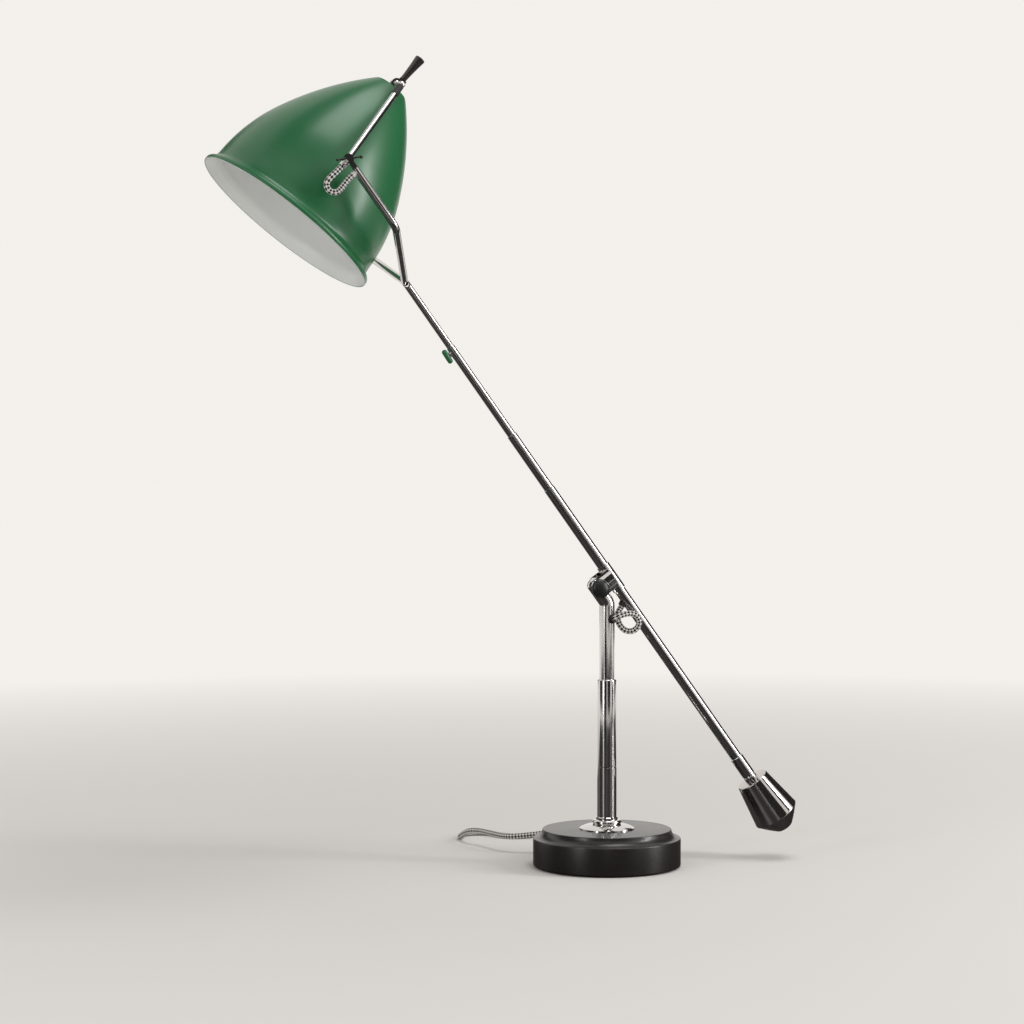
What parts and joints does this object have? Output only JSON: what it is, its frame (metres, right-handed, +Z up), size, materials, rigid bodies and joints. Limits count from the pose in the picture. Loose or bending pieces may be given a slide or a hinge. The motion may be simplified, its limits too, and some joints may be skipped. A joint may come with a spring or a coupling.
{
  "type": "desk lamp",
  "caption": "Balance desk lamp: round base, swivelling post, leaning arm with a counterweight, forked head and a bell shade.",
  "frame": {"origin": "centre of the base's underside, on the post's axis", "axes": "+Z up the post; the arm leans in the XZ plane, with the shade toward -X and the counterweight toward +X; -Y is the near side, with the tilt knob and the lead's loops"},
  "size_m": [0.6125, 0.3431, 0.8123],
  "materials": {
    "black_lacquered_wood": "black satin lacquer",
    "black_turned_wood": "black satin lacquer",
    "cast_iron": "raw",
    "zinc_steel": "zinc plated",
    "felt": "felt",
    "chrome_tube": "polished",
    "chrome_weight": "polished",
    "brass_bush": "turned",
    "black_plastic": "satin",
    "black_rubber": "matte",
    "green_lacquer": "satin gloss",
    "green_shade": "satin-gloss green lacquer, white inside",
    "holder_plastic": "gloss",
    "bulb_metal": "rolled thread",
    "opal_glass": "opal",
    "textile_lead": "black and white braid"
  },
  "bodies": {
    "base": {"base_body": "black_lacquered_wood", "base_weight": "cast_iron", "base_weight_screws": "zinc_steel", "base_felt_pad": "felt", "base_clamp_nut": "zinc_steel", "base_threaded_tube": "zinc_steel", "cord_gland": "black_plastic", "base_flange": "chrome_tube", "post_foot_tube": "chrome_tube", "swivel_spindle": "zinc_steel", "swivel_retaining_nut": "zinc_steel", "mains_cord": "textile_lead", "mains_cord_coil": "textile_lead", "mains_cord_tail": "textile_lead", "plug_body": "black_plastic", "plug_pins": "brass_bush"},
    "post": {"swivel_washer": "black_plastic", "post_sleeve": "chrome_tube", "post_stem": "chrome_tube", "post_grommet": "black_rubber", "post_head_cap": "chrome_tube", "tilt_bush": "brass_bush", "post_loop": "textile_lead"},
    "arm": {"arm_tee": "chrome_tube", "tilt_cap_nut": "chrome_tube", "arm_main_tube": "chrome_tube", "arm_grommet": "black_rubber", "arm_step_tube": "chrome_tube", "arm_guide_tube": "chrome_tube", "counterweight_ferrule": "chrome_tube", "counterweight_spigot": "zinc_steel", "counterweight": "chrome_weight"},
    "tilt_clamp": {"tilt_knob": "black_plastic", "tilt_bolt": "zinc_steel"},
    "thumbscrew": {"thumbscrew_wing": "green_lacquer", "thumbscrew_stem": "zinc_steel"},
    "slider": {"guide_bush": "black_plastic"},
    "head": {"head_tube": "chrome_tube", "fork_prong_near": "chrome_tube", "fork_prong_far": "chrome_tube", "fork_eye_near": "chrome_tube", "fork_eye_far": "chrome_tube", "far_pivot_screw": "chrome_tube", "head_loop": "textile_lead"},
    "pivot_clamp": {"tommy_screw": "chrome_tube", "tommy_bar": "black_plastic"},
    "yoke": {"yoke_rod_near": "chrome_tube", "yoke_rod_far": "chrome_tube", "rod_sleeves": "black_rubber", "yoke_shoe_near": "chrome_tube", "yoke_shoe_far": "chrome_tube", "top_clamp": "chrome_tube", "hinge_screw": "chrome_tube", "handle": "black_turned_wood"},
    "shade": {"shade_shell": "green_shade", "shade_cap": "green_lacquer", "shade_stud": "chrome_tube", "lampholder": "holder_plastic", "bulb_cap": "bulb_metal", "bulb_glass": "opal_glass"}
  },
  "joints": [
    {"name": "post_swivel", "type": "hinge", "parent": "base", "child": "post", "pos_m": [0, 0, 0.101], "axis": [0, 0, 1], "range_deg": [-170, 170]},
    {"name": "arm_tilt", "type": "hinge", "parent": "post", "child": "arm", "pos_m": [-0.011, 0, 0.283], "axis": [0, 1, 0], "range_deg": [-58, 6], "deforming": ["post_loop"]},
    {"name": "tilt_clamp_turn", "type": "hinge", "parent": "arm", "child": "tilt_clamp", "pos_m": [-0.011, 0, 0.283], "axis": [0, 1, 0], "range_deg": [-90, 90]},
    {"name": "thumbscrew_turn", "type": "hinge", "parent": "arm", "child": "thumbscrew", "pos_m": [-0.16699, 0, 0.5154], "axis": [0.809, 0, 0.5878], "range_deg": [-90, 90]},
    {"name": "reach_slide", "type": "slide", "parent": "arm", "child": "slider", "axis": [-0.5878, 0, 0.809], "range_m": [-0.06, 0.03]},
    {"name": "head_roll", "type": "hinge", "parent": "slider", "child": "head", "pos_m": [-0.0946, 0, 0.42955], "axis": [-0.5878, 0, 0.809], "range_deg": [-150, 150]},
    {"name": "yoke_tilt", "type": "hinge", "parent": "head", "child": "yoke", "pos_m": [-0.28875, 0, 0.69676], "axis": [0, 1, 0], "range_deg": [-6, 75], "deforming": ["head_loop"]},
    {"name": "pivot_clamp_turn", "type": "hinge", "parent": "head", "child": "pivot_clamp", "pos_m": [-0.28875, -0.1049, 0.69676], "axis": [0, 1, 0], "range_deg": [-100, 40]},
    {"name": "shade_tilt", "type": "hinge", "parent": "yoke", "child": "shade", "pos_m": [-0.21944, 0, 0.78312], "axis": [0, 1, 0], "range_deg": [-2, 18]}
  ]
}
